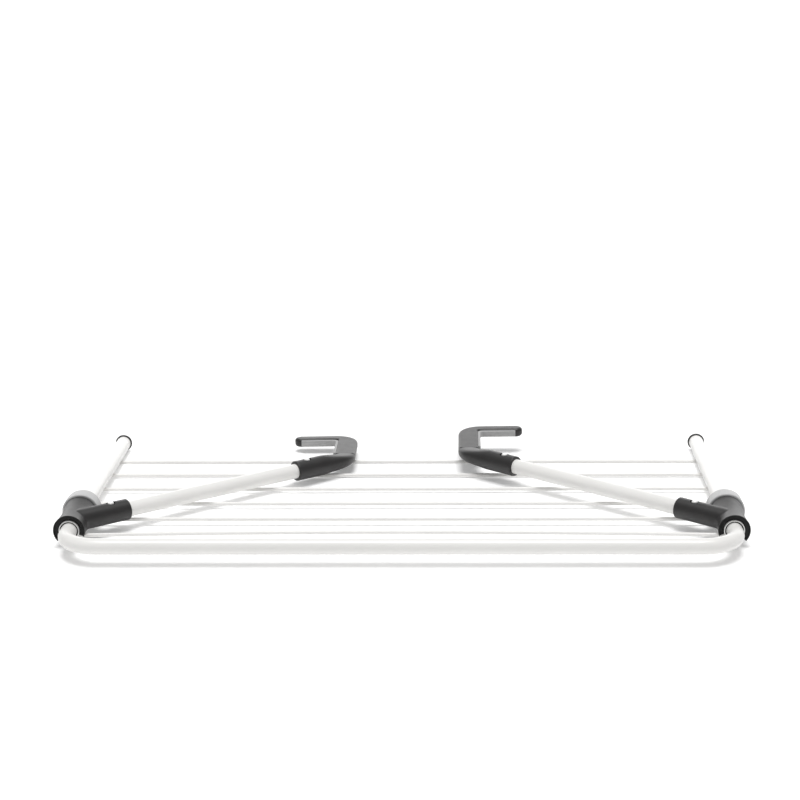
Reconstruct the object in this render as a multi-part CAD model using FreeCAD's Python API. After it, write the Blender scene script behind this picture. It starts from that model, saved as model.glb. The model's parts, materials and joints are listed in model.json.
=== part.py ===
"""Hang-over drying rack: a U-shaped tube frame with six rods and two folding hooked arms.

Millimetres, +Z up. The frame lies level with its front bar towards -Y. The origin is at the middle of
the rack's footprint, at the height of its lowest point.

Most of the rack is drawn for the left side, in the side tube's own coordinates: "reach" runs from the
tube's axis towards the middle of the rack, "y" runs back from the front bar's axis, and "rise" goes up
from the tube's axis. The right side is its mirror image.
"""
import FreeCAD, Part
import math
import os

Vector = FreeCAD.Vector

# --- Driving dimensions -------------------------------------------------------------------------------

# frame tube
tube_diameter = 16.0
tube_wall = 1.2
side_spacing = 659.0          # between the axes of the two side tubes
frame_depth = 360.0           # from the front bar's axis to the rear of the end caps
bend_radius = 36.0

# rods
rod_count = 6
rod_diameter = 4.0
rear_rod_setback = 48.0       # from the rear of the end caps
front_rod_bow = 3.2           # rise of the front rod at its middle
rod_bow_steps = 8
rod_weld_sink = 0.6           # how deep a rod is seated in the tube wall
rod_overhang = 3.0            # how far a rod runs past the tube's axis

# end caps
cap_rim = 1.5                 # how far the lip stands out around the tube
cap_lip = 3.0
cap_edge_round = 1.2
cap_plug_length = 14.0

# knuckle around the side tube
knuckle_setback = 10.0        # from the end of the frame's bend
knuckle_length = 58.0
knuckle_front_wall = 5.8
knuckle_waist_wall = 4.7
knuckle_rear_wall = 7.0
knuckle_edge_round = 0.5
knuckle_opening_end = 138.0   # how far round the outer side the open underside reaches, in degrees
front_rod_in_knuckle = 14.0   # from the knuckle's front
mouth_rim = 0.7
mouth_depth = 3.6
mouth_ring_thickness = 2.0
bush_wall = 2.2
bush_lip_wall = 0.9
bush_lip_depth = 9.0

# branch of the knuckle and the arm tube; places along the arm are counted from over the side tube's axis
arm_root_in_knuckle = 19.0    # from the knuckle's front
arm_angle = 39.0              # from straight across towards the rear, in degrees
branch_wall = 2.9
branch_end = 62.5
branch_blend = 6.0
branch_edge_round = 1.0
branch_floor = 3.4            # left between the knuckle's bore and the arm tube

# stop collar
collar_wall = 11.0
collar_length = 18.0
collar_foot = 16.0            # from the tube's axis down to the collar's flat foot
collar_edge_round = 1.5
stop_inner_wall = 1.4         # between the knuckle's bore and the recess for the stop lug
stop_outer_wall = 1.2         # outside that recess
stop_depth = 4.0
stop_angle = 140.0            # middle of the stop lug, from the inner side over the top
stop_width = 20.0             # in degrees

# hook
sleeve_wall = 2.9
sleeve_length = 36.0
sleeve_to_bend = 17.8
sleeve_floor = 1.0            # between the arm tube's end and the sleeve's end
sleeve_overlap = 2.0          # of the bend into the sleeve
sleeve_shoulder = 0.08        # step from the sleeve down to the bend
hook_bend_radius = 24.0
bend_steps = 4
web_reach = 260.5             # from the side tube's axis to the middle of the web
web_width = 23.0
web_length = 62.1             # from the end of the bend to the tip's front face
hook_thickness = 9.8
tip_width = 15.5
tip_length = 73.0             # from the web's outer side
inner_corner_radius = 4.0
outer_corner_radius = 26.0
bar_edge_round = 3.4
bar_squareness = 3.6          # 2 is an ellipse, higher is closer to a rectangle

# hook pad
pad_proud = 2.0
pad_seat = 1.6
pad_edge_margin = 1.45        # of the hook's thickness left above and below the pad
pad_tip_margin = 8.0
pad_end_round = 1.6
pad_bend_margin = 8.6

# lock pegs
peg_diameter = 6.4
peg_root = 4.0                # from the arm tube's axis
peg_proud = 0.5               # top of a peg above the sleeve's surface
peg_head_round = 1.4
knuckle_peg_setback = 18.6    # from the branch's end
hook_peg_setback = 15.5       # from the sleeve's mouth
window_margin = 0.9           # around a peg, across the arm
window_play = 1.6             # extra length of a window along the arm

# motion and clearances
swing_range = 90.0            # from folded flat to upright
left_rest_swing = 0.0
right_rest_swing = 1.35
left_rest_twist = -1.3        # of the hook about the arm tube, upwards, in degrees
right_rest_twist = 2.9
arm_clearance = 0.1           # between the mouldings of an arm folded flat and the rods
running_clearance = 0.08      # radial, between bush and knuckle
ring_clearance = 0.4          # between the mouth ring and the bush
axial_clearance = 0.4         # between knuckle and collar
stop_clearance = 0.3
stop_end_clearance = 1.0      # in degrees, at each end of the swing
rod_clearance = 1.0           # around a rod that passes through a moulding

# --- Sizes that follow from them ----------------------------------------------------------------------

tube_radius = tube_diameter / 2
rod_radius = rod_diameter / 2
peg_radius = peg_diameter / 2
half_spacing = side_spacing / 2
rod_drop = tube_radius + rod_radius - rod_weld_sink

bush_radius = tube_radius + bush_wall
knuckle_bore_radius = bush_radius + running_clearance
knuckle_front_radius = knuckle_bore_radius + knuckle_front_wall
knuckle_waist_radius = knuckle_bore_radius + knuckle_waist_wall
knuckle_rear_radius = knuckle_bore_radius + knuckle_rear_wall
mouth_radius = knuckle_front_radius - mouth_rim
recess_inner_radius = knuckle_bore_radius + stop_inner_wall
recess_outer_radius = knuckle_rear_radius - stop_outer_wall
collar_radius = tube_radius + collar_wall
branch_radius = tube_radius + branch_wall
sleeve_radius = tube_radius + sleeve_wall
rod_top_drop = rod_drop - rod_radius
arm_rise = max(branch_radius, sleeve_radius) + arm_clearance - rod_top_drop

knuckle_front_y = bend_radius + knuckle_setback
knuckle_rear_y = knuckle_front_y + knuckle_length
collar_front_y = knuckle_rear_y + axial_clearance
collar_rear_y = collar_front_y + collar_length
front_rod_y = knuckle_front_y + front_rod_in_knuckle
rod_pitch = (frame_depth - rear_rod_setback - front_rod_y) / (rod_count - 1)
arm_root_y = knuckle_front_y + arm_root_in_knuckle
tube_end_y = frame_depth - cap_lip

arm_heading = math.radians(arm_angle)
arm_direction = Vector(math.cos(arm_heading), math.sin(arm_heading), 0)
arm_sideways = Vector(-math.sin(arm_heading), math.cos(arm_heading), 0)
along_y = Vector(0, 1, 0)
upwards = Vector(0, 0, 1)

hook_turn = math.pi / 2 - arm_heading
bend_tangent = hook_bend_radius * math.tan(hook_turn / 2)
bend_end_y = arm_root_y + web_reach * math.tan(arm_heading) + bend_tangent
sleeve_end = web_reach / math.cos(arm_heading) - bend_tangent - sleeve_to_bend
sleeve_start = sleeve_end - sleeve_length
web_inner_reach = web_reach - web_width / 2
web_outer_reach = web_reach + web_width / 2
tip_front_y = bend_end_y + web_length
tip_y = tip_front_y + tip_width / 2
tip_rear_y = tip_front_y + tip_width
tip_end_reach = web_outer_reach - tip_length

arm_tube_start = (knuckle_bore_radius + branch_floor + tube_radius * arm_direction.y) / arm_direction.x
arm_tube_end = sleeve_end - sleeve_floor
knuckle_peg_place = branch_end - knuckle_peg_setback
hook_peg_place = sleeve_start + hook_peg_setback

lowest_rise = -collar_foot
rearmost_y = max(tip_rear_y, frame_depth)
middle_y = (rearmost_y - tube_radius) / 2


# --- Places and simple shapes -------------------------------------------------------------------------

def place(reach, y, rise):
    """Point given in the left side tube's coordinates."""
    return Vector(reach - half_spacing, y - middle_y, rise - lowest_rise)


def arm_place(distance, sideways=0.0, rise=0.0):
    """Point along the arm's axis, with an offset towards the rear and one upwards."""
    flat = arm_direction * distance + arm_sideways * sideways
    return place(flat.x, arm_root_y + flat.y, arm_rise + rise)


def rod_y(index):
    """Place of a rod, counted from the front."""
    return front_rod_y + index * rod_pitch


def tube_cylinder(radius, y_from, y_to):
    """Solid cylinder around the left side tube's axis."""
    return Part.makeCylinder(radius, y_to - y_from, place(0, y_from, 0), along_y)


def arm_cylinder(radius, start, end):
    """Solid cylinder around the arm's axis."""
    return Part.makeCylinder(radius, end - start, arm_place(start), arm_direction)


def wedge(radius, angle_from, angle_to, y_from, y_to):
    """Pie-shaped solid around the left side tube's axis, its angles from the inner side over the top."""
    def rim(angle):
        turn = math.radians(angle)
        return place(radius * math.cos(turn), y_from, radius * math.sin(turn))

    centre = place(0, y_from, 0)
    arc = Part.Arc(rim(angle_from), rim((angle_from + angle_to) / 2), rim(angle_to)).toShape()
    sides = [Part.LineSegment(centre, rim(angle_from)).toShape(),
             arc,
             Part.LineSegment(rim(angle_to), centre).toShape()]
    return Part.Face(Part.Wire(sides)).extrude(along_y * (y_to - y_from))


def circle_edges(shape, radius):
    """Circular edges of one radius."""
    return [edge for edge in shape.Edges
            if isinstance(edge.Curve, Part.Circle) and abs(edge.Curve.Radius - radius) < 1e-6]


def rod_gap_start(radius):
    """Angle at which a gap for the rods starts on the inner side of a ring of that radius."""
    return -math.degrees(math.asin((rod_top_drop - rod_clearance) / radius))


def rod_gap(radius, turn, y_from, y_to):
    """Gap that lets the rods' ends pass, in a ring around the side tube that turns that far."""
    end = -math.degrees(math.acos(-(rod_overhang + rod_clearance) / bush_radius)) - turn
    return wedge(2 * radius, end, rod_gap_start(radius), y_from, y_to)


def rod_windows(radius, turn, y_from, y_to):
    """One gap for each rod that passes through a ring between y_from and y_to."""
    half_width = rod_radius + rod_clearance
    return [rod_gap(radius, turn, rod_y(index) - half_width, rod_y(index) + half_width)
            for index in range(rod_count)
            if y_from - half_width < rod_y(index) < y_to + half_width]


def mirrored(shape):
    """The same piece for the right side."""
    return shape.mirror(Vector(0, 0, 0), Vector(1, 0, 0))


def twisted(shape, angle):
    """Hook piece of the left arm, turned about the arm tube so that its tip rises."""
    turned = shape.copy()
    turned.rotate(arm_place(0), arm_direction, angle)
    return turned


def swung(shape, angle, side):
    """Piece of an arm, raised from the folded stop; side is -1 on the left and 1 on the right."""
    raised = shape.copy()
    pivot = Vector(side * half_spacing, 0, -lowest_rise)
    raised.rotate(pivot, along_y * side, angle)
    return raised


# --- Frame --------------------------------------------------------------------------------------------

def frame_path():
    """Centre line of the U-shaped tube, from the left rear end round the front to the right rear end."""
    corner = bend_radius * (1 - math.sqrt(0.5))
    span = side_spacing
    left_rear = place(0, tube_end_y, 0)
    left_bend_start = place(0, bend_radius, 0)
    left_bend_middle = place(corner, corner, 0)
    left_bend_end = place(bend_radius, 0, 0)
    right_bend_start = place(span - bend_radius, 0, 0)
    right_bend_middle = place(span - corner, corner, 0)
    right_bend_end = place(span, bend_radius, 0)
    right_rear = place(span, tube_end_y, 0)
    return Part.Wire([
        Part.LineSegment(left_rear, left_bend_start).toShape(),
        Part.Arc(left_bend_start, left_bend_middle, left_bend_end).toShape(),
        Part.LineSegment(left_bend_end, right_bend_start).toShape(),
        Part.Arc(right_bend_start, right_bend_middle, right_bend_end).toShape(),
        Part.LineSegment(right_bend_end, right_rear).toShape(),
    ])


def pipe(path, radius, direction):
    """Round bar swept along a path that starts in the given direction."""
    start = path.OrderedVertexes[0].Point
    section = Part.Wire(Part.makeCircle(radius, start, direction))
    return path.makePipeShell([section], True, True)


def frame_tube():
    path = frame_path()
    outside = pipe(path, tube_radius, -along_y)
    inside = pipe(path, tube_radius - tube_wall, -along_y)
    return outside.cut(inside)


def bowed_bar(left, right, bow):
    """Round bar between two points that rises by bow in its middle."""
    sections = []
    for step in range(rod_bow_steps + 1):
        share = step / rod_bow_steps
        centre = left + (right - left) * share + upwards * (4 * bow * share * (1 - share))
        sections.append(Part.Wire(Part.makeCircle(rod_radius, centre, Vector(1, 0, 0))))
    return Part.makeLoft(sections, True, True)


def rod(index):
    """Rod welded under both side tubes; the front one bows upwards."""
    y = rod_y(index)
    left = place(-rod_overhang, y, -rod_drop)
    right = place(side_spacing + rod_overhang, y, -rod_drop)
    if index == 0:
        bar = bowed_bar(left, right, front_rod_bow)
    else:
        bar = Part.makeCylinder(rod_radius, (right - left).x, left, Vector(1, 0, 0))
    seat = tube_cylinder(tube_radius, y - rod_diameter, y + rod_diameter)
    return bar.cut(seat).cut(mirrored(seat))


def end_cap():
    """Plug with a lip that closes a side tube's rear end."""
    cap_radius = tube_radius + cap_rim
    lip = tube_cylinder(cap_radius, tube_end_y, frame_depth)
    lip = lip.makeFillet(cap_edge_round, circle_edges(lip, cap_radius))
    plug = tube_cylinder(tube_radius - tube_wall, tube_end_y - cap_plug_length, tube_end_y)
    return lip.fuse(plug).removeSplitter()


def pivot_bush():
    """Thin split sleeve on the tube that the knuckle turns on, with a lip that stands clear of the tube."""
    ring = tube_cylinder(bush_radius, knuckle_front_y, collar_front_y)
    ring = ring.cut(tube_cylinder(tube_radius, knuckle_front_y, collar_front_y))
    lip_bore = bush_radius - bush_lip_wall
    ring = ring.cut(tube_cylinder(lip_bore, knuckle_front_y, knuckle_front_y + bush_lip_depth))
    return ring.cut(rod_gap(bush_radius, 0, knuckle_front_y, collar_front_y))


def stop_collar():
    """Collar behind the knuckle with a flat foot, open where a rod passes, and a lug that stops the swing."""
    ring = tube_cylinder(collar_radius, collar_front_y, collar_rear_y)
    ring = ring.makeFillet(collar_edge_round, circle_edges(ring, collar_radius))
    ring = ring.cut(tube_cylinder(tube_radius, collar_front_y, collar_rear_y))
    for window in rod_windows(collar_radius, 0, collar_front_y, collar_rear_y):
        ring = ring.cut(window)
    below = Part.makeBox(2 * collar_radius, collar_length, collar_radius,
                         place(-collar_radius, collar_front_y, -collar_foot - collar_radius))
    ring = ring.cut(below)
    lug_front_y = collar_front_y - stop_depth
    lug = wedge(recess_outer_radius - stop_clearance, stop_angle - stop_width / 2,
                stop_angle + stop_width / 2, lug_front_y, collar_front_y)
    lug = lug.cut(tube_cylinder(recess_inner_radius + stop_clearance, lug_front_y, collar_front_y))
    return ring.fuse(lug).removeSplitter()


# --- Knuckle and arm tube -----------------------------------------------------------------------------

def peg_window(distance):
    """Oval opening in a sleeve, above a lock peg."""
    half_gap = window_play / 2
    half_width = peg_radius + window_margin
    depth = 2 * branch_radius
    start = arm_place(distance)
    rounds = [Part.makeCylinder(half_width, depth, start + arm_direction * offset, upwards)
              for offset in (-half_gap, half_gap)]
    corners = [start + arm_direction * (half_gap * along) + arm_sideways * (half_width * over)
               for along, over in ((-1, -1), (1, -1), (1, 1), (-1, 1), (-1, -1))]
    middle = Part.Face(Part.makePolygon(corners)).extrude(upwards * depth)
    return middle.fuse(rounds).removeSplitter()


def lock_peg(distance, sleeve_surface):
    """Round-headed peg that stands through the arm tube into the window of a sleeve of that radius."""
    length = sleeve_surface + peg_proud - peg_root
    peg = Part.makeCylinder(peg_radius, length, arm_place(distance, rise=peg_root), upwards)
    top = max(circle_edges(peg, peg_radius), key=lambda edge: edge.CenterOfMass.z)
    return peg.makeFillet(peg_head_round, [top])


def peg_hole(distance):
    """Hole in the arm tube for a lock peg."""
    return Part.makeCylinder(peg_radius, 2 * tube_radius, arm_place(distance), upwards)


def barrel():
    """Round body of the knuckle, waisted between its flared ends."""
    waist_y = (knuckle_front_y + knuckle_rear_y) / 2
    front_centre = place(0, knuckle_front_y, 0)
    front_rim = place(0, knuckle_front_y, -knuckle_front_radius)
    waist = place(0, waist_y, -knuckle_waist_radius)
    rear_rim = place(0, knuckle_rear_y, -knuckle_rear_radius)
    rear_centre = place(0, knuckle_rear_y, 0)
    outline = Part.Wire([
        Part.LineSegment(front_centre, front_rim).toShape(),
        Part.Arc(front_rim, waist, rear_rim).toShape(),
        Part.LineSegment(rear_rim, rear_centre).toShape(),
        Part.LineSegment(rear_centre, front_centre).toShape(),
    ])
    body = Part.Face(outline).revolve(front_centre, along_y, 360)
    rims = circle_edges(body, knuckle_front_radius) + circle_edges(body, knuckle_rear_radius)
    return body.makeFillet(knuckle_edge_round, rims)


def knuckle():
    """Barrel that turns on the bush, open underneath, with a branch sleeve for the arm tube."""
    branch = arm_cylinder(branch_radius, 0, branch_end)
    branch_mouth = max(circle_edges(branch, branch_radius), key=lambda edge: edge.CenterOfMass.y)
    branch = branch.makeFillet(branch_edge_round, [branch_mouth])
    body = barrel().fuse(branch).removeSplitter()
    joint_line = [edge for edge in body.Edges if isinstance(edge.Curve, Part.BSplineCurve)]
    body = body.makeFillet(branch_blend, joint_line)
    body = body.cut(tube_cylinder(knuckle_bore_radius, knuckle_front_y, knuckle_rear_y))
    body = body.cut(tube_cylinder(mouth_radius, knuckle_front_y, knuckle_front_y + mouth_depth))
    body = body.cut(arm_cylinder(tube_radius, arm_tube_start, branch_end))
    body = body.cut(peg_window(knuckle_peg_place))
    body = body.cut(stop_recess())
    body = body.cut(open_underside())
    for window in rod_windows(knuckle_rear_radius, swing_range, knuckle_front_y, knuckle_rear_y):
        body = body.cut(window)
    return body


def stop_recess():
    """Curved pocket in the knuckle's rear face, in which the collar's lug travels."""
    start = stop_angle - swing_range - stop_width / 2 - stop_end_clearance
    end = stop_angle + stop_width / 2 + stop_end_clearance
    front_y = collar_front_y - stop_depth - stop_clearance
    pocket = wedge(recess_outer_radius, start, end, front_y, knuckle_rear_y)
    return pocket.cut(tube_cylinder(recess_inner_radius, front_y, knuckle_rear_y))


def open_underside():
    """Opening along the knuckle's underside, from above the rods round to the outer side."""
    return wedge(2 * knuckle_front_radius, -knuckle_opening_end, rod_gap_start(knuckle_front_radius),
                 knuckle_front_y, knuckle_rear_y)


def mouth_ring():
    """Black ring set back in the knuckle's front mouth."""
    rear_y = knuckle_front_y + mouth_depth
    front_y = rear_y - mouth_ring_thickness
    ring = tube_cylinder(mouth_radius, front_y, rear_y)
    ring = ring.cut(tube_cylinder(bush_radius + ring_clearance, front_y, rear_y))
    return ring.cut(open_underside())


def arm_tube():
    tube = arm_cylinder(tube_radius, arm_tube_start, arm_tube_end)
    tube = tube.cut(arm_cylinder(tube_radius - tube_wall, arm_tube_start, arm_tube_end))
    for distance in (knuckle_peg_place, hook_peg_place):
        tube = tube.cut(peg_hole(distance))
    return tube


# --- Hook ---------------------------------------------------------------------------------------------

def section(centre, heading, half_width, half_thickness, squareness):
    """Closed curve across the hook, from round (squareness 2) towards a rounded bar (higher)."""
    across = Vector(math.sin(heading), -math.cos(heading), 0)
    count = 24
    points = []
    for step in range(count):
        turn = 2 * math.pi * step / count
        side = math.copysign(abs(math.cos(turn)) ** (2 / squareness), math.cos(turn))
        rise = math.copysign(abs(math.sin(turn)) ** (2 / squareness), math.sin(turn))
        points.append(centre + across * (half_width * side) + upwards * (half_thickness * rise))
    curve = Part.BSplineCurve()
    curve.interpolate(points, PeriodicFlag=True)
    return Part.Wire(curve.toShape())


def hook_bend():
    """Body between the round sleeve and the flat web, which flattens while it turns towards the rear."""
    start_radius = sleeve_radius - sleeve_shoulder
    half_web = web_width / 2
    half_bar = hook_thickness / 2
    bend_centre = place(web_reach - hook_bend_radius, bend_end_y, arm_rise)
    sections = [section(arm_place(distance), arm_heading, start_radius, start_radius, 2)
                for distance in (sleeve_end - sleeve_overlap, sleeve_end)]
    bend_length = hook_bend_radius * hook_turn
    for step in range(bend_steps + 1):
        share = step / bend_steps
        heading = arm_heading + hook_turn * share
        centre = bend_centre + Vector(math.sin(heading), -math.cos(heading), 0) * hook_bend_radius
        flat = (sleeve_to_bend + bend_length * share) / (sleeve_to_bend + bend_length)
        width = start_radius + (half_web - start_radius) * flat
        thickness = start_radius + (half_bar - start_radius) * flat
        sections.append(section(centre, heading, width, thickness, 2 + (bar_squareness - 2) * flat))
    return Part.makeLoft(sections, True, False)


def hook_bar():
    """Flat web and tip of the hook, in one bar with rounded corners and eased edges."""
    half_tip = tip_width / 2
    inner = inner_corner_radius
    outer = outer_corner_radius
    inner_cut = inner * (1 - math.sqrt(0.5))
    outer_cut = outer * (1 - math.sqrt(0.5))

    def at(reach, y):
        return place(reach, y, arm_rise - hook_thickness / 2)

    points = [
        at(web_inner_reach, bend_end_y),
        at(web_inner_reach, tip_front_y - inner),
        at(web_inner_reach - inner_cut, tip_front_y - inner_cut),
        at(web_inner_reach - inner, tip_front_y),
        at(tip_end_reach + half_tip, tip_front_y),
        at(tip_end_reach, tip_y),
        at(tip_end_reach + half_tip, tip_rear_y),
        at(web_outer_reach - outer, tip_rear_y),
        at(web_outer_reach - outer_cut, tip_rear_y - outer_cut),
        at(web_outer_reach, tip_rear_y - outer),
        at(web_outer_reach, bend_end_y),
    ]
    outline = Part.Wire([
        Part.LineSegment(points[0], points[1]).toShape(),
        Part.Arc(points[1], points[2], points[3]).toShape(),
        Part.LineSegment(points[3], points[4]).toShape(),
        Part.Arc(points[4], points[5], points[6]).toShape(),
        Part.LineSegment(points[6], points[7]).toShape(),
        Part.Arc(points[7], points[8], points[9]).toShape(),
        Part.LineSegment(points[9], points[10]).toShape(),
        Part.LineSegment(points[10], points[0]).toShape(),
    ])
    bar = Part.Face(outline).extrude(upwards * hook_thickness)
    seam_y = points[0].y
    rims = [edge for edge in bar.Edges
            if edge.BoundBox.ZLength < 1e-6 and abs(edge.CenterOfMass.y - seam_y) > 1e-6]
    return bar.makeFillet(bar_edge_round, rims)


def pad_strip():
    """L-shaped strip along the tip's front face and the web's inner face, seated in the hook."""
    pad_height = hook_thickness - 2 * pad_edge_margin
    tip_start = tip_end_reach + pad_tip_margin
    web_start_y = bend_end_y + pad_bend_margin
    seat_reach = web_inner_reach + pad_seat
    seat_y = tip_front_y + pad_seat
    face_reach = web_inner_reach - pad_proud
    face_y = tip_front_y - pad_proud
    outline = [(tip_start, seat_y), (seat_reach, seat_y), (seat_reach, web_start_y),
               (face_reach, web_start_y), (face_reach, face_y), (tip_start, face_y), (tip_start, seat_y)]
    corners = [place(reach, y, arm_rise - pad_height / 2) for reach, y in outline]
    return Part.Face(Part.makePolygon(corners)).extrude(upwards * pad_height)


def hook():
    """Moulded hook: a sleeve on the arm tube, a bend that flattens into a web, and a straight tip."""
    sleeve = arm_cylinder(sleeve_radius, sleeve_start, sleeve_end)
    mouth = min(circle_edges(sleeve, sleeve_radius), key=lambda edge: edge.CenterOfMass.y)
    sleeve = sleeve.makeFillet(branch_edge_round, [mouth])
    body = sleeve.fuse([hook_bend(), hook_bar()]).removeSplitter()
    body = body.cut(arm_cylinder(tube_radius, sleeve_start, arm_tube_end))
    body = body.cut(peg_window(hook_peg_place))
    return body.cut(pad_strip())


def hook_pad():
    """Soft strip that lines the hook, with a rounded inner corner."""
    strip = pad_strip()
    corner = place(web_inner_reach - pad_proud, tip_front_y - pad_proud, arm_rise)
    inner_edge = [edge for edge in strip.Edges if (edge.CenterOfMass - corner).Length < 1e-6]
    strip = strip.makeFillet(inner_corner_radius, inner_edge)
    tip_corner = place(tip_end_reach + pad_tip_margin, tip_front_y - pad_proud, arm_rise)
    tip_edge = [edge for edge in strip.Edges if (edge.CenterOfMass - tip_corner).Length < 1e-6]
    return strip.makeFillet(pad_end_round, tip_edge)


# --- All the pieces -----------------------------------------------------------------------------------

def all_pieces():
    """Every piece by its node name."""
    pieces = {"frame_tube": frame_tube()}
    for index in range(rod_count):
        pieces[f"rod_{index + 1}"] = rod(index)
    fixed = {"end_cap": end_cap(), "pivot_bush": pivot_bush(), "stop_collar": stop_collar()}
    for name, shape in fixed.items():
        pieces[f"left_{name}"] = shape
        pieces[f"right_{name}"] = mirrored(shape)
    arm = {
        "knuckle": knuckle(),
        "mouth_ring": mouth_ring(),
        "arm_tube": arm_tube(),
        "hook": hook(),
        "hook_pad": hook_pad(),
        "knuckle_peg": lock_peg(knuckle_peg_place, branch_radius),
        "hook_peg": lock_peg(hook_peg_place, sleeve_radius),
    }
    for name, shape in arm.items():
        loose = name in ("hook", "hook_pad")
        left = twisted(shape, left_rest_twist) if loose else shape
        right = twisted(shape, right_rest_twist) if loose else shape
        pieces[f"left_{name}"] = swung(left, left_rest_swing, -1)
        pieces[f"right_{name}"] = swung(mirrored(right), right_rest_swing, 1)
    return pieces


os.makedirs("parts", exist_ok=True)
for node, solid in all_pieces().items():
    solid.exportStep(f"parts/{node}.step")
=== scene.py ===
"""Hang-over drying rack, lying folded: finishes, moulded details, floor, light and camera."""
import json
import logging
import math
from collections.abc import Callable
from dataclasses import dataclass, field
from enum import Enum

import bpy
from mathutils import Matrix, Vector


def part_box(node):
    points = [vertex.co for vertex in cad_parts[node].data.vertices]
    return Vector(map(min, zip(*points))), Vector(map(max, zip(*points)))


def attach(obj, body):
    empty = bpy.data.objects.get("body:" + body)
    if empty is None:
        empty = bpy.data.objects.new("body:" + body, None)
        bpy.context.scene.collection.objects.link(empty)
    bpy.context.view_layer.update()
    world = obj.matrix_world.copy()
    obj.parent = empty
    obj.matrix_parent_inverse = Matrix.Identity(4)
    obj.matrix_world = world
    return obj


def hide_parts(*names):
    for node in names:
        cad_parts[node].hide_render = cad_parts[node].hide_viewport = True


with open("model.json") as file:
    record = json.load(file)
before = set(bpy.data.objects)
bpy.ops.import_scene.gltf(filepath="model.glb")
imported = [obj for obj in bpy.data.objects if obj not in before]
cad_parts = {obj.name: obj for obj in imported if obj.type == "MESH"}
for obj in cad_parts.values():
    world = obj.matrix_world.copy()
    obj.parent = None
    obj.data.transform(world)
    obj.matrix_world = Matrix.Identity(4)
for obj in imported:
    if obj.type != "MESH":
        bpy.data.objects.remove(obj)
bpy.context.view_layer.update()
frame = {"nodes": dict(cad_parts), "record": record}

log = logging.getLogger("drying_rack")

MERGE_DISTANCE = 1e-6


# --- Sides --------------------------------------------------------------------------------------------

class Side(Enum):
    """The rack's two halves, each with the sign of its X."""

    LEFT = -1
    RIGHT = 1

    @property
    def word(self) -> str:
        """Start of the names of this side's nodes."""
        return self.name.lower()

    @property
    def body(self) -> str:
        """The moving body of this side's arm."""
        return f"{self.word}_arm"


# --- Finishes -----------------------------------------------------------------------------------------

class NodeTree:
    """A material's nodes, added and linked by short calls."""

    def __init__(self, name: str) -> None:
        """Starts a new node material.

        Args:
            name: the material's name.
        """
        self.material = bpy.data.materials.new(name)
        self.material.use_nodes = True
        self.tree = self.material.node_tree
        self.shader = self.tree.nodes["Principled BSDF"]

    def add(self, kind: str, **values: object) -> bpy.types.Node:
        """Adds a node.

        Args:
            kind: the node's type, without its ShaderNode prefix.
            values: attributes, or input sockets where no attribute has that name.

        Returns:
            The new node.
        """
        node = self.tree.nodes.new(f"ShaderNode{kind}")
        for key, value in values.items():
            if hasattr(node, key):
                setattr(node, key, value)
            else:
                node.inputs[key.replace("_", " ")].default_value = value
        return node

    def link(self, source: bpy.types.NodeSocket, target: bpy.types.NodeSocket) -> None:
        """Links one socket to another."""
        self.tree.links.new(source, target)

    def set(self, **values: object) -> None:
        """Sets the shader's own sockets, with spaces in their names as underscores."""
        for key, value in values.items():
            self.shader.inputs[key.replace("_", " ")].default_value = value

    def noise(self, scale: float, detail: float = 2.0, roughness: float = 0.5) -> bpy.types.Node:
        """Adds a noise texture on Object coordinates.

        Args:
            scale: pattern repeats per metre.
            detail: octaves of finer noise.
            roughness: strength of the finer octaves.

        Returns:
            The noise node.
        """
        where = self.add("TexCoord")
        noise = self.add("TexNoise", Scale=scale, Detail=detail, Roughness=roughness)
        self.link(where.outputs["Object"], noise.inputs["Vector"])
        return noise

    def ramp(self, source: bpy.types.NodeSocket, low: tuple, high: tuple,
             start: float = 0.3, end: float = 0.7) -> bpy.types.Node:
        """Adds a two-colour ramp.

        Args:
            source: the value that picks the colour.
            low: the colour at start.
            high: the colour at end.
            start: position of the first stop.
            end: position of the second stop.

        Returns:
            The ramp node.
        """
        ramp = self.add("ValToRGB")
        ramp.color_ramp.elements[0].position = start
        ramp.color_ramp.elements[1].position = end
        ramp.color_ramp.elements[0].color = (*low, 1)
        ramp.color_ramp.elements[1].color = (*high, 1)
        self.link(source, ramp.inputs["Fac"])
        return ramp

    def spread(self, source: bpy.types.NodeSocket, low: float, high: float) -> bpy.types.Node:
        """Adds a node that maps a 0 to 1 value onto low to high."""
        spread = self.add("MapRange")
        spread.inputs["To Min"].default_value = low
        spread.inputs["To Max"].default_value = high
        self.link(source, spread.inputs["Value"])
        return spread

    def bump(self, heights: list[tuple[bpy.types.NodeSocket, float, float]]) -> None:
        """Chains bump nodes into the shader's normal.

        Args:
            heights: for each bump its source, its strength, and its depth in metres.
        """
        previous = None
        for source, strength, depth in heights:
            bump = self.add("Bump", Strength=strength, Distance=depth)
            self.link(source, bump.inputs["Height"])
            if previous is not None:
                self.link(previous.outputs["Normal"], bump.inputs["Normal"])
            previous = bump
        if previous is not None:
            self.link(previous.outputs["Normal"], self.shader.inputs["Normal"])


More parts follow.
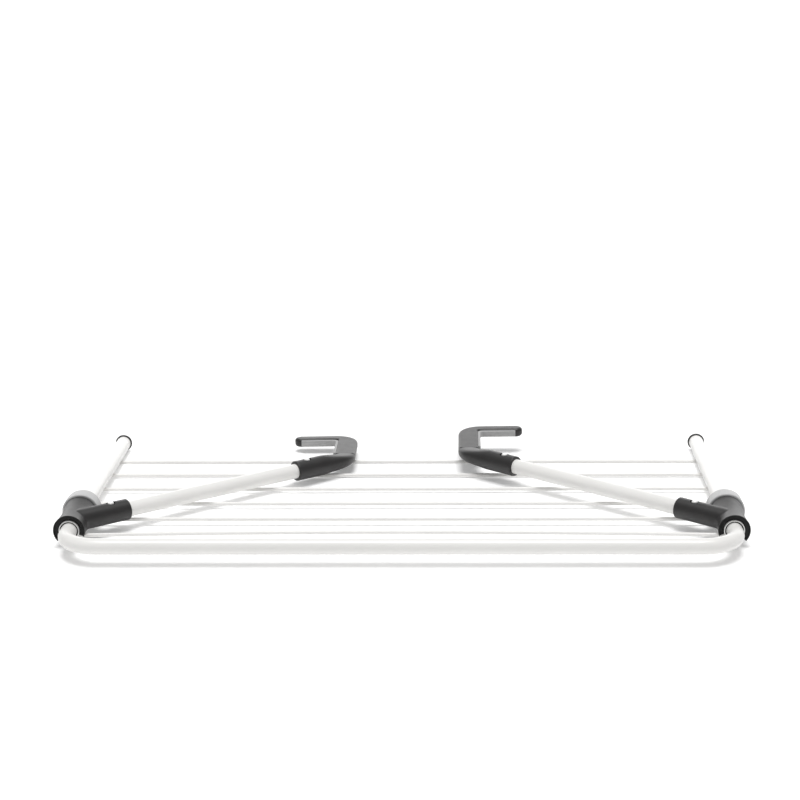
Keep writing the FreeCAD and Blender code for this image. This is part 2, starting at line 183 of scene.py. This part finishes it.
@dataclass(frozen=True)
class PowderCoat:
    """Satin powder coat on steel: soft orange peel, faint tint changes."""

    name: str = "powder_coat_white"
    light: tuple = (0.822, 0.814, 0.796)
    shade: tuple = (0.800, 0.791, 0.772)
    roughness: float = 0.34
    coat: float = 0.12
    coat_roughness: float = 0.22
    tint_scale: float = 14.0
    wear_scale: float = 60.0
    peel_scale: float = 900.0
    peel_strength: float = 0.35
    wave_strength: float = 0.2
    peel_depth: float = 0.00004

    def build(self) -> bpy.types.Material:
        """Returns the finished material."""
        tree = NodeTree(self.name)
        tree.set(Coat_Weight=self.coat, Coat_Roughness=self.coat_roughness, IOR=1.5)
        tint = tree.noise(self.tint_scale, detail=3.0)
        tree.link(tree.ramp(tint.outputs["Fac"], self.shade, self.light).outputs["Color"],
                  tree.shader.inputs["Base Color"])
        wear = tree.noise(self.wear_scale, detail=4.0)
        sheen = tree.spread(wear.outputs["Fac"], self.roughness - 0.06, self.roughness + 0.08)
        tree.link(sheen.outputs["Result"], tree.shader.inputs["Roughness"])
        peel = tree.noise(self.peel_scale, detail=1.0)
        waves = tree.noise(self.peel_scale / 4, detail=1.0)
        tree.bump([(peel.outputs["Fac"], self.peel_strength, self.peel_depth),
                   (waves.outputs["Fac"], self.wave_strength, self.peel_depth * 2)])
        return tree.material


@dataclass(frozen=True)
class MouldedPlastic:
    """Injection-moulded plastic: spark-eroded grain, faint flow marks, soft sheen."""

    name: str
    light: tuple
    shade: tuple
    roughness: float = 0.52
    specular: float = 0.5
    flow_scale: float = 35.0
    rub_scale: float = 140.0
    grain_scale: float = 2600.0
    grain_depth: float = 0.00005
    grain_strength: float = 0.45

    def build(self) -> bpy.types.Material:
        """Returns the finished material."""
        tree = NodeTree(self.name)
        tree.set(Specular_IOR_Level=self.specular)
        flow = tree.noise(self.flow_scale, detail=4.0, roughness=0.6)
        tree.link(tree.ramp(flow.outputs["Fac"], self.shade, self.light).outputs["Color"],
                  tree.shader.inputs["Base Color"])
        rub = tree.noise(self.rub_scale, detail=5.0, roughness=0.6)
        sheen = tree.spread(rub.outputs["Fac"], self.roughness - 0.07, self.roughness + 0.09)
        tree.link(sheen.outputs["Result"], tree.shader.inputs["Roughness"])
        grain = tree.noise(self.grain_scale, detail=2.0, roughness=0.7)
        tree.bump([(grain.outputs["Fac"], self.grain_strength, self.grain_depth)])
        return tree.material


@dataclass(frozen=True)
class SoftRubber:
    """Soft grey lining: fine matte skin with a little mottling."""

    name: str = "lining_rubber_grey"
    light: tuple = (0.45, 0.45, 0.45)
    shade: tuple = (0.39, 0.39, 0.39)
    mottle_scale: float = 220.0
    skin_scale: float = 3200.0
    skin_strength: float = 0.5
    skin_depth: float = 0.00005

    def build(self) -> bpy.types.Material:
        """Returns the finished material."""
        tree = NodeTree(self.name)
        tree.set(Specular_IOR_Level=0.35, Sheen_Weight=0.15, Sheen_Roughness=0.5)
        mottle = tree.noise(self.mottle_scale, detail=4.0, roughness=0.65)
        tree.link(tree.ramp(mottle.outputs["Fac"], self.shade, self.light).outputs["Color"],
                  tree.shader.inputs["Base Color"])
        tree.link(tree.spread(mottle.outputs["Fac"], 0.66, 0.8).outputs["Result"],
                  tree.shader.inputs["Roughness"])
        skin = tree.noise(self.skin_scale, detail=2.0)
        tree.bump([(skin.outputs["Fac"], self.skin_strength, self.skin_depth)])
        return tree.material


@dataclass
class Finishes:
    """Every finish on the rack, by the record's slot names."""

    slots: dict[str, bpy.types.Material] = field(default_factory=dict)

    def build(self) -> None:
        """Makes the materials."""
        choices = {
            "white_coat": PowderCoat(),
            "dark_plastic": MouldedPlastic("plastic_charcoal", (0.020, 0.019, 0.019), (0.016, 0.015, 0.015),
                                           roughness=0.42),
            "black_plastic": MouldedPlastic("plastic_black", (0.008, 0.008, 0.008), (0.006, 0.006, 0.006),
                                            roughness=0.55, specular=0.3),
            "pale_plastic": MouldedPlastic("plastic_pale", (0.82, 0.82, 0.81), (0.78, 0.78, 0.77),
                                           roughness=0.3, grain_strength=0.15),
            "grey_plastic": MouldedPlastic("plastic_light_grey", (0.47, 0.47, 0.47), (0.44, 0.44, 0.44),
                                           roughness=0.45, grain_strength=0.3),
            "white_plastic": MouldedPlastic("plastic_white", (0.86, 0.86, 0.85), (0.82, 0.82, 0.81),
                                            roughness=0.35, grain_strength=0.2),
            "pad_rubber": SoftRubber(),
        }
        self.slots = {slot: finish.build() for slot, finish in choices.items()}

    def dress(self, piece: bpy.types.Object, slot: str) -> None:
        """Gives a piece one slot's finish.

        Args:
            piece: the object to dress.
            slot: the record's slot name.
        """
        piece.data.materials.clear()
        piece.data.materials.append(self.slots[slot])


# --- Stage --------------------------------------------------------------------------------------------

@dataclass
class Stage:
    """Floor that the folded rack rests on, soft light, and the camera."""

    floor_size: float = 60.0
    floor_glow: float = 0.18
    floor_gap: float = 0.0002
    surround: float = 0.37
    lamp_power: float = 2.40
    lamp_spread: float = 34.0
    lamp_tilt: float = 3.0
    sheen_place: tuple[float, float, float] = (0.0, 4.0, 1.3)
    sheen_size: tuple[float, float] = (7.0, 2.6)
    sheen_power: float = 98.0
    lens: float = 83.43
    camera_place: tuple[float, float, float] = (0.0630, -1.8698, 0.6144)
    camera_pitch: float = 14.957
    camera_yaw: float = 2.014
    camera_roll: float = -0.695

    def floor_tilt(self) -> tuple[float, Vector]:
        """Angle and a point of the plane that the collars and the end caps rest on.

        Returns:
            The plane's rise towards the rear, in radians, and a point where it touches the collars.
        """
        low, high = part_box("left_stop_collar")
        cap_low, cap_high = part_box("left_end_cap")
        run = cap_high.y - high.y
        return math.atan2(cap_low.z - low.z, run), Vector((0, high.y, low.z))

    def lay_floor(self) -> None:
        """Adds the plain pale floor."""
        tilt, touch = self.floor_tilt()
        bpy.ops.mesh.primitive_plane_add(size=self.floor_size, rotation=(tilt, 0, 0),
                                         location=touch - Vector((0, 0, self.floor_gap)))
        floor = bpy.context.object
        floor.name = "floor"
        tree = NodeTree("floor_white")
        tree.set(Roughness=0.62, Specular_IOR_Level=0.35, Emission_Color=(1, 1, 1, 1),
                 Emission_Strength=self.floor_glow)
        cloud = tree.noise(3.0)
        tree.link(tree.ramp(cloud.outputs["Fac"], (0.93, 0.93, 0.93), (0.95, 0.95, 0.95)).outputs["Color"],
                  tree.shader.inputs["Base Color"])
        floor.data.materials.append(tree.material)

    def light(self) -> None:
        """Adds the soft light: a dim surround, a wide light overhead, and a panel behind for the gloss."""
        world = bpy.data.worlds.new("studio")
        world.use_nodes = True
        world.node_tree.nodes["Background"].inputs["Color"].default_value = (1, 1, 1, 1)
        world.node_tree.nodes["Background"].inputs["Strength"].default_value = self.surround
        bpy.context.scene.world = world
        bpy.context.scene.view_settings.view_transform = "Standard"
        bpy.ops.object.light_add(type="SUN", rotation=(math.radians(self.lamp_tilt), 0, 0))
        lamp = bpy.context.object
        lamp.name = "overhead_light"
        lamp.data.energy = self.lamp_power
        lamp.data.angle = math.radians(self.lamp_spread)
        bpy.ops.object.light_add(type="AREA", location=self.sheen_place, rotation=(-math.pi / 2, 0, 0))
        panel = bpy.context.object
        panel.name = "gloss_panel"
        panel.data.shape = "RECTANGLE"
        panel.data.size, panel.data.size_y = self.sheen_size
        panel.data.energy = self.sheen_power
        panel.visible_diffuse = False

    def aim(self) -> None:
        """Adds the camera."""
        bpy.ops.object.camera_add(location=self.camera_place)
        camera = bpy.context.object
        camera.name = "camera"
        camera.data.lens = self.lens
        camera.data.clip_end = 100
        yaw = Matrix.Rotation(math.radians(self.camera_yaw), 4, "Z")
        pitch = Matrix.Rotation(math.radians(90 - self.camera_pitch), 4, "X")
        roll = Matrix.Rotation(math.radians(self.camera_roll), 4, "Z")
        camera.matrix_world = Matrix.Translation(self.camera_place) @ yaw @ pitch @ roll
        bpy.context.scene.camera = camera


# --- Modelling moves ----------------------------------------------------------------------------------

def pick(piece: bpy.types.Object) -> None:
    """Selects one object alone and makes it active."""
    bpy.ops.object.select_all(action="DESELECT")
    piece.select_set(True)
    bpy.context.view_layer.objects.active = piece


def start_editing(piece: bpy.types.Object, kind: str = "FACE") -> None:
    """Opens a piece in edit mode with nothing selected.

    Args:
        piece: the mesh object to edit.
        kind: VERT, EDGE or FACE selection.
    """
    pick(piece)
    bpy.ops.object.mode_set(mode="EDIT")
    bpy.ops.mesh.select_mode(type=kind)
    bpy.ops.mesh.select_all(action="DESELECT")


def select_faces(piece: bpy.types.Object, wanted: Callable[[bpy.types.MeshPolygon], bool]) -> None:
    """Selects the faces of the piece being edited that pass a test.

    Args:
        piece: the mesh object in edit mode.
        wanted: called with each polygon, and true for those to select.
    """
    bpy.ops.object.mode_set(mode="OBJECT")
    for polygon in piece.data.polygons:
        polygon.select = wanted(polygon)
    bpy.ops.object.mode_set(mode="EDIT")


def finish_piece(piece: bpy.types.Object, smooth_angle: float) -> None:
    """Puts a piece's place into its mesh, turns its faces outwards and smooths it.

    Args:
        piece: the mesh object, in object or edit mode.
        smooth_angle: edges sharper than this, in degrees, stay crisp.
    """
    if bpy.context.mode != "OBJECT":
        bpy.ops.object.mode_set(mode="OBJECT")
    pick(piece)
    bpy.ops.object.transform_apply(location=True, rotation=True, scale=True)
    bpy.ops.object.mode_set(mode="EDIT")
    bpy.ops.mesh.select_all(action="SELECT")
    bpy.ops.mesh.remove_doubles(threshold=MERGE_DISTANCE)
    bpy.ops.mesh.normals_make_consistent(inside=False)
    bpy.ops.object.mode_set(mode="OBJECT")
    bpy.ops.object.shade_smooth_by_angle(angle=math.radians(smooth_angle))


def copy_of(piece: bpy.types.Object, name: str) -> bpy.types.Object:
    """Copies an object with a mesh of its own."""
    twin = bpy.data.objects.new(name, piece.data.copy())
    bpy.context.scene.collection.objects.link(twin)
    return twin


def move(piece: bpy.types.Object, place: Vector) -> None:
    """Moves a piece's mesh, so that its object stays at the origin."""
    piece.data.transform(Matrix.Translation(place))


# --- Pieces -------------------------------------------------------------------------------------------

@dataclass
class TubeFrame:
    """Welds of the fixed frame (U-shaped tube, six rods, end caps), beaded where the rods meet the side
    tubes.
    """

    rod_count: int = 6
    bead_radius: float = 0.00125
    bead_length: float = 0.0046
    bead_out: float = 0.0043
    bead_drop: float = 0.0068
    bead_bulge: float = 0.0004
    bead_facets: int = 12
    ripple_swell: float = 1.18

    def bead(self) -> bpy.types.Object:
        """Models one weld bead at the origin, along Y, with two ripples and domed ends."""
        bpy.ops.mesh.primitive_cylinder_add(vertices=self.bead_facets, radius=self.bead_radius,
                                            depth=self.bead_length, rotation=(math.pi / 2, 0, 0))
        bead = bpy.context.object
        bpy.ops.object.transform_apply(location=False, rotation=True, scale=False)
        half = self.bead_length / 2
        start_editing(bead)
        bpy.ops.mesh.select_all(action="SELECT")
        bpy.ops.mesh.bisect(plane_co=(0, 0, 0), plane_no=(0, 1, 0))
        for place in (-half / 2, half / 2):
            bpy.ops.mesh.select_all(action="SELECT")
            bpy.ops.mesh.bisect(plane_co=(0, place, 0), plane_no=(0, 1, 0))
            bpy.ops.transform.resize(value=(self.ripple_swell, 1, self.ripple_swell),
                                     center_override=(0, place, 0))
        select_faces(bead, lambda face: abs(face.normal.y) > 0.9)
        bpy.ops.mesh.inset(thickness=self.bead_radius * 0.4, depth=self.bead_bulge)
        bpy.ops.mesh.inset(thickness=self.bead_radius * 0.3, depth=self.bead_bulge / 3)
        finish_piece(bead, 180)
        smoothing = bead.modifiers.new("smoothing", "SUBSURF")
        smoothing.levels = 1
        smoothing.render_levels = 1
        bpy.ops.object.modifier_apply(modifier=smoothing.name)
        return bead

    def weld(self, finishes: Finishes) -> None:
        """Sets beads on both flanks of each rod's seat under the side tubes."""
        pattern = self.bead()
        for side in Side:
            cap_low, cap_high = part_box(f"{side.word}_end_cap")
            axis = (cap_low + cap_high) / 2
            for index in range(1, self.rod_count + 1):
                rod_low, rod_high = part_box(f"rod_{index}")
                for flank, word in ((1, "outer"), (-1, "inner")):
                    bead = copy_of(pattern, f"{side.word}_rod_{index}_{word}_weld")
                    place = Vector((axis.x + side.value * flank * self.bead_out, (rod_low.y + rod_high.y) / 2,
                                    axis.z - self.bead_drop))
                    move(bead, place)
                    finishes.dress(bead, "white_coat")
                    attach(bead, "frame")
        bpy.data.objects.remove(pattern)
        log.info("welded %d rods", self.rod_count)


@dataclass
class GapShadeRing:
    """Painted shade: black ring just inside the mouth of a pivot bush, around the side tube, that darkens the
    gap there.
    """

    side: Side
    inner_radius: float = 0.00803
    outer_radius: float = 0.00926
    depth: float = 0.0040
    set_back: float = 0.0009
    edge_round: float = 0.00025
    facets: int = 64

    def build(self, finishes: Finishes) -> None:
        """Models the ring and dresses it."""
        bush_low, bush_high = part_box(f"{self.side.word}_pivot_bush")
        cap_low, cap_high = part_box(f"{self.side.word}_end_cap")
        axis = (cap_low + cap_high) / 2
        place = Vector((axis.x, bush_low.y + self.set_back, axis.z))
        bpy.ops.object.select_all(action="DESELECT")
        bpy.ops.mesh.primitive_circle_add(vertices=self.facets, radius=self.outer_radius, fill_type="NGON",
                                          location=place, rotation=(math.pi / 2, 0, 0))
        ring = bpy.context.object
        ring.name = f"{self.side.word}_tube_seal"
        bpy.ops.object.mode_set(mode="EDIT")
        bpy.ops.mesh.select_all(action="SELECT")
        bpy.ops.mesh.inset(thickness=self.outer_radius - self.inner_radius, depth=0)
        bpy.ops.mesh.delete(type="FACE")
        bpy.ops.mesh.select_all(action="SELECT")
        bpy.ops.mesh.extrude_region_move(TRANSFORM_OT_translate={"value": (0, self.depth, 0)})
        bpy.ops.mesh.select_all(action="SELECT")
        bpy.ops.mesh.normals_make_consistent(inside=False)
        bpy.ops.object.mode_set(mode="OBJECT")
        easing = ring.modifiers.new("easing", "BEVEL")
        easing.width = self.edge_round
        easing.segments = 2
        easing.limit_method = "ANGLE"
        bpy.ops.object.modifier_apply(modifier=easing.name)
        finish_piece(ring, 40)
        # painted shade: the black finish fills the gap between bush and tube, where shade falls
        finishes.dress(ring, "black_plastic")
        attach(ring, "frame")
        log.info("sealed the %s bush", self.side.word)


@dataclass
class HookLining:
    """Soft strip in a hook's mouth, its edges eased."""

    side: Side
    edge_round: float = 0.0007
    edge_steps: int = 3
    crisp_angle: float = 25.0

    def build(self, finishes: Finishes) -> None:
        """Models the strip from its plain solid and dresses it."""
        node = f"{self.side.word}_hook_pad"
        strip = copy_of(frame["nodes"][node], f"{self.side.word}_hook_lining")
        pick(strip)
        bpy.ops.mesh.customdata_custom_splitnormals_clear()
        start_editing(strip)
        bpy.ops.mesh.select_all(action="SELECT")
        bpy.ops.mesh.remove_doubles(threshold=MERGE_DISTANCE)
        bpy.ops.mesh.dissolve_limited(angle_limit=math.radians(0.5))
        bpy.ops.object.mode_set(mode="OBJECT")
        easing = strip.modifiers.new("easing", "BEVEL")
        easing.width = self.edge_round
        easing.segments = self.edge_steps
        easing.limit_method = "ANGLE"
        easing.angle_limit = math.radians(self.crisp_angle)
        bpy.ops.object.modifier_apply(modifier=easing.name)
        finish_piece(strip, 30)
        finishes.dress(strip, "pad_rubber")
        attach(strip, self.side.body)
        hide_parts(node)
        log.info("lined the %s hook", self.side.word)


# --- Build --------------------------------------------------------------------------------------------

def main() -> None:
    """Builds the rack's pieces in order and sets the stage."""
    logging.basicConfig(level=logging.INFO)
    bpy.ops.object.select_all(action="DESELECT")
    finishes = Finishes()
    finishes.build()
    slots = {part["node"]: part["material_slot"] for part in frame["record"]["subparts"]}
    for node, piece in frame["nodes"].items():
        finishes.dress(piece, slots[node])
        log.info("dressed %s", node)
    TubeFrame().weld(finishes)
    for side in Side:
        # painted shade: a black ring darkens each bush's gap around the side tube
        GapShadeRing(side).build(finishes)
        HookLining(side).build(finishes)
    stage = Stage()
    stage.lay_floor()
    stage.light()
    stage.aim()


if __name__ == "__main__":
    main()
